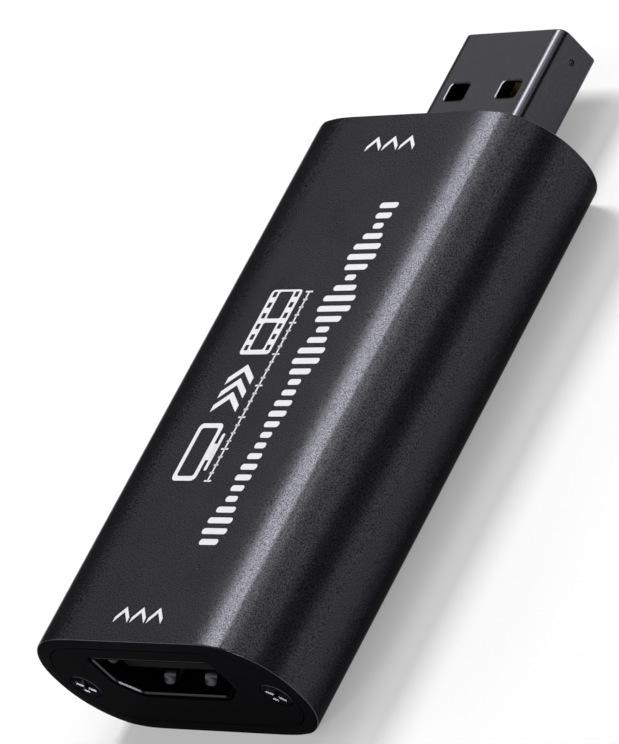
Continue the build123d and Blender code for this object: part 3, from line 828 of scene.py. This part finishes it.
relief = add_node(
    blasted_aluminium, "ShaderNodeBump", {"Strength": 0.35, "Distance": 0.006 * MM}, {"Height": grain.outputs["Fac"]})
anodised = add_node(
    blasted_aluminium, "ShaderNodeBsdfPrincipled",
    {"Metallic": 0.86, "Specular IOR Level": 0.1, "Specular Tint": colour(edge_dark)},
    {"Base Color": oxide_colour.outputs[2], "Roughness": dulling.outputs["Result"],
     "Normal": relief.outputs["Normal"]})
show(blasted_aluminium, anodised)
finish_piece(casing, "casing_sleeve", blasted_aluminium)

# both ends were cut after blasting: their sawn faces are a dead black, crossed by fine marks, and the broken edges
# round them are smoother and catch a thin line of light
saw_mark_mm = 0.12
saw_mark_stretch = 0.1
sawn_face_limit = 0.95
broken_edge_limit = 0.3
cut_finishes = [
    # name, darker and lighter shade, share of bare metal, level of the gloss, roughness
    ("black anodised aluminium, sawn face", "#08080a", "#111113", 0.0, 0.003, 0.55),
    ("black anodised aluminium, broken edge", "#48484d", "#5c5c61", 1.0, 0.5, 0.3),
]
for name, cut_dark, cut_light, bare_share, gloss_level, cut_roughness in cut_finishes:
    casing.data.materials.append(mottled_finish(
        name, (cut_dark, cut_light), {"Scale": 1 / (saw_mark_mm * MM), "Detail": 2.0},
        {"Metallic": bare_share, "Specular IOR Level": gloss_level, "Roughness": cut_roughness},
        stretch=(saw_mark_stretch, 1.0, 1.0)))
for face in casing.data.polygons:
    if abs(face.normal.y) > sawn_face_limit:
        face.material_index = 1
    elif abs(face.normal.y) > broken_edge_limit:
        face.material_index = 2
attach(casing, "root")
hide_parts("casing")

# Print. White ink screened on the casing's top: plain pictograms and a waveform along its length, and three
# arrow heads at each end that show which way the signal goes.
ink_top = casing_high.z + 0.012
ink_bottom = casing_high.z - 0.02
ink_corner_steps = 4


def ink_block(x0, x1, y0, y1, corner=0.0):
    """A patch of ink between two corners on the casing's top, with its corners rounded."""
    patch = new_block(Vector((x0, y0, ink_bottom)), Vector((x1, y1, ink_top)))
    if corner:
        round_edges(lies_along_z, corner, ink_corner_steps)
    return patch


def ink_arrow(x0, x1, y0, stroke, lean):
    """An arrow head of ink, pointing towards the plug."""
    arrow = new_block(Vector((x0, y0, ink_bottom)), Vector((x1, y0 + stroke, ink_top)))
    arrow_x = (x0 + x1) / 2
    add_edges((arrow_x, 0, 0), (1, 0, 0))
    pick("VERT", lambda vert: abs(vert.co.x - arrow_x) < tolerance)
    bpy.ops.transform.translate(value=(0, lean, 0))
    return arrow


# the screen, its stand and its foot, then three arrow heads, then a length of film with holes and two frames
mark_left, mark_right = -5.1, -1.45
screen_start, screen_end = -16.9, -11.3
screen_right = mark_right - 0.75
screen_border = 0.45
screen_corner, screen_inner_corner = 0.5, 0.25
stand_start, stand_end = -14.9, -13.3
stand_left, stand_right = mark_right - 0.76, mark_right - 0.3
foot_start, foot_end = -15.9, -12.3
foot_left = mark_right - 0.35
foot_corner = 0.15
flow_count = 3
flow_inset = 0.3
flow_start = -10.2
flow_pitch = 1.35
flow_stroke = 0.7
flow_lean = 1.3
film_start, film_end = -4.5, 1.95
film_corner = 0.35
hole_count = 6
hole_columns = (mark_left + 0.3, mark_right - 0.75)
hole_width = 0.45
hole_length = 0.55
hole_start = -4.1
hole_pitch = 1.06
picture_count = 2
picture_inset = 1.0
picture_start = -4.05
picture_pitch = 3.1
picture_length = 2.7
picture_corner = 0.2

screen = ink_block(mark_left, screen_right, screen_start, screen_end, screen_corner)
cut_away(screen, ink_block(
    mark_left + screen_border, screen_right - screen_border, screen_start + screen_border,
    screen_end - screen_border, screen_inner_corner))
ink = [
    screen,
    ink_block(stand_left, stand_right, stand_start, stand_end),
    ink_block(foot_left, mark_right, foot_start, foot_end, foot_corner),
]
for count in range(flow_count):
    ink.append(ink_arrow(
        mark_left + flow_inset, mark_right - flow_inset, flow_start + flow_pitch * count, flow_stroke, flow_lean))
film = ink_block(mark_left, mark_right, film_start, film_end, film_corner)
for count in range(hole_count):
    hole_y = hole_start + hole_pitch * count
    for hole_x in hole_columns:
        cut_away(film, ink_block(hole_x, hole_x + hole_width, hole_y, hole_y + hole_length))
for count in range(picture_count):
    picture_y = picture_start + picture_pitch * count
    cut_away(film, ink_block(
        mark_left + picture_inset, mark_right - picture_inset, picture_y, picture_y + picture_length,
        picture_corner))
ink.append(film)

# a scale of ticks beside them, every fourth one longer
rule_x = -0.6
rule_start, rule_end = -16.9, 1.7
rule_half_width = 0.09
tick_count = 25
tick_pitch = 0.775
ticks_per_long_one = 4
long_tick, short_tick = 0.42, 0.25
tick_half_width = 0.08

ink.append(ink_block(rule_x - rule_half_width, rule_x + rule_half_width, rule_start, rule_end))
for count in range(tick_count):
    tick_y = rule_start + tick_pitch * count
    tick = long_tick if count % ticks_per_long_one == 0 else short_tick
    ink.append(ink_block(rule_x - tick, rule_x + tick, tick_y - tick_half_width, tick_y + tick_half_width))

# a waveform of bars, which swell and sink along its length
bar_count = 33
wave_x = 3.42
wave_start = -23.0
wave_pitch = 1.03
wave_bar = 0.56
wave_corner = 0.26
shortest_bar = 0.55
tallest_swell = 1.42
quick_turn, quick_start = 0.61, 0.5
slow_turn, slow_start = 0.23, 1.1
slow_share = 0.38

for count in range(bar_count):
    slow_swell = 1 - slow_share + slow_share * math.cos(slow_turn * count + slow_start)
    swell = abs(math.sin(quick_turn * count + quick_start)) * slow_swell
    bar_half = shortest_bar + tallest_swell * swell
    bar_y = wave_start + wave_pitch * count
    ink.append(ink_block(wave_x - bar_half, wave_x + bar_half, bar_y, bar_y + wave_bar, wave_corner))

# three small arrow heads at each end
end_mark_places = ((0.0, -30.5), (-0.3, 15.9))
end_mark_pitch = 2.0
end_mark_half_width = 0.85
end_mark_stroke = 0.5
end_mark_lean = 1.0

for centre_x, start_y in end_mark_places:
    for side in (-1, 0, 1):
        arrow_x = centre_x + end_mark_pitch * side
        ink.append(ink_arrow(
            arrow_x - end_mark_half_width, arrow_x + end_mark_half_width, start_y, end_mark_stroke, end_mark_lean))

# screened ink: a matt white film, a little greyer where the blasted metal shows through it
ink_shades = ("#cfcfd4", "#e8e8ec")
screen_mm = 0.14

white_ink = mottled_finish(
    "screened white ink", ink_shades, {"Scale": 1 / (screen_mm * MM), "Detail": 2.0},
    {"Roughness": 0.5}, relief=(0.3, 0.004))
print_marks = finish_piece(joined(ink), "print_marks", white_ink)
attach(print_marks, "root")

# End plates. Moulded black plastic, set flush into the tube and screwed down. One is cut for the socket and one
# for the plug.
plate_corner = 4.7
plate_corner_steps = 20
opening_gap = Vector((0.1, 0, 0.1))
opening_reach = Vector((0, 1, 0))
screw_gap = 0.05
screw_hole_length = 8.0

# black ABS from a spark-eroded mould: matt and almost without shine, with a fine even texture
abs_shades = ("#08080a", "#111113")
erosion_mm = 0.18

moulded_black = mottled_finish(
    "moulded black ABS", abs_shades, {"Scale": 1 / (erosion_mm * MM), "Detail": 2.0},
    {"Roughness": 0.6, "Specular IOR Level": 0.003}, relief=(0.3, 0.006))

for plate_node in ("input_end_plate", "output_end_plate"):
    plate_low, plate_high = cad_mm(plate_node)
    plate = new_block(plate_low, plate_high)
    round_edges(lies_along_y, plate_corner, plate_corner_steps)
    if plate_node == "input_end_plate":
        opening = socket_form(
            Vector((socket_low.x, plate_low.y, socket_bottom)) - opening_gap - opening_reach,
            Vector((socket_high.x, plate_high.y, socket_top)) + opening_gap + opening_reach,
            socket_corner + opening_gap.x)
    else:
        opening = plug_form(
            Vector((-plug_half_width, plate_low.y, plug_low.z)) - opening_gap - opening_reach,
            Vector((plug_half_width, plate_high.y, plug_high.z)) + opening_gap + opening_reach, opening_gap.x)
    cut_away(plate, opening)
    for x in (-screw_x, screw_x):
        hole_middle = Vector((x, (plate_low.y + plate_high.y) / 2, screw_z))
        cut_away(plate, round_bar(screw_head_radius + screw_gap, screw_hole_length, hole_middle))
    finish_piece(plate, plate_node.replace("_end_", "_face_"), moulded_black)
    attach(plate, "root")
    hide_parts(plate_node)

# Screws. Countersunk self-tapping steel screws, blackened, with a cross recess. Two hold each plate in the
# tube's screw channels.
screw_radius = 0.8
screw_rim = 0.2
screw_length = 6.0
screw_tip = 0.9
screw_tip_share = 0.05
recess_span = 1.7
recess_width = 0.36
recess_floor = 0.1
recess_depth = 0.7
recess_flare = 0.1
screw_edge_break = 0.06
screw_turns = (-37, -43)

neck_depth = screw_rim + screw_head_radius - screw_radius
deselect_all()
bpy.ops.mesh.primitive_cylinder_add(
    vertices=round_steps, radius=screw_radius, depth=screw_length - screw_tip - neck_depth,
    location=(0, 0, -(screw_length - screw_tip + neck_depth) / 2))
bpy.ops.object.transform_apply()
screw = bpy.context.object
bpy.ops.object.mode_set(mode="EDIT")
for step_up, share in ((neck_depth - screw_rim, screw_head_radius / screw_radius), (screw_rim, 1)):
    pick("FACE", lambda face: face.normal.z > 0.9)
    bpy.ops.mesh.extrude_region_move(TRANSFORM_OT_translate={"value": (0, 0, step_up)})
    bpy.ops.transform.resize(value=(share, share, 1), center_override=(0, 0, 0))
pick("FACE", lambda face: face.normal.z < -0.9)
bpy.ops.mesh.extrude_region_move(TRANSFORM_OT_translate={"value": (0, 0, -screw_tip)})
bpy.ops.transform.resize(value=(screw_tip_share, screw_tip_share, 1), center_override=(0, 0, 0))
for across_x, across_y in ((recess_span, recess_width), (recess_width, recess_span)):
    half = Vector((across_x / 2, across_y / 2, 0))
    bar = new_block(-half - Vector((0, 0, recess_depth)), half + Vector((0, 0, 1)))
    add_edges((0, 0, -recess_flare), (0, 0, 1))
    pick("VERT", lambda vert: vert.co.z > 0)
    flared = 1 + recess_flare
    bpy.ops.transform.resize(
        value=(1 + flared / half.x, 1 + flared / half.y, 1), center_override=(0, 0, 0))
    pick("VERT", lambda vert: vert.co.z < -recess_flare - tolerance)
    shrink = 1 - (recess_width - recess_floor) / recess_width
    long_shrink = 1 - (recess_width - recess_floor) / recess_span
    narrow = (long_shrink, shrink, 1) if across_x > across_y else (shrink, long_shrink, 1)
    bpy.ops.transform.resize(value=narrow, center_override=(0, 0, 0))
    cut_away(screw, bar)
bpy.ops.object.mode_set(mode="EDIT")
round_edges(
    lambda edge: all(
        abs(vert.co.xy.length - screw_head_radius) < tolerance and vert.co.z > -tolerance for vert in edge.verts),
    screw_edge_break, steps=2)
deselect_all()

# dark nickel on steel: nearly black face on, with bright broken edges, and rubbed lighter in places
screw_shades = ("#57575b", "#67676b")
rub_mm = 0.5

black_steel = mottled_finish(
    "dark nickel-plated steel", screw_shades, {"Scale": 1 / (rub_mm * MM), "Detail": 4.0},
    {"Metallic": 1.0, "Specular Tint": colour(oxide_tint)}, gloss=(0.14, 0.28))

for node, outer_y, turn in (
        ("input_plate_screws", casing_low.y, math.radians(90)),
        ("output_plate_screws", casing_high.y, math.radians(-90))):
    pair = []
    for x, spin in zip((-screw_x, screw_x), screw_turns):
        place = (
            Matrix.Translation((x, outer_y, screw_z)) @ Matrix.Rotation(turn, 4, "X")
            @ Matrix.Rotation(math.radians(spin), 4, "Z"))
        pair.append(placed_copy(screw, place))
    screws = finish_piece(joined(pair), node.replace("plate_screws", "screws"), black_steel)
    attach(screws, "root")
    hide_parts(node)
bpy.data.objects.remove(screw)
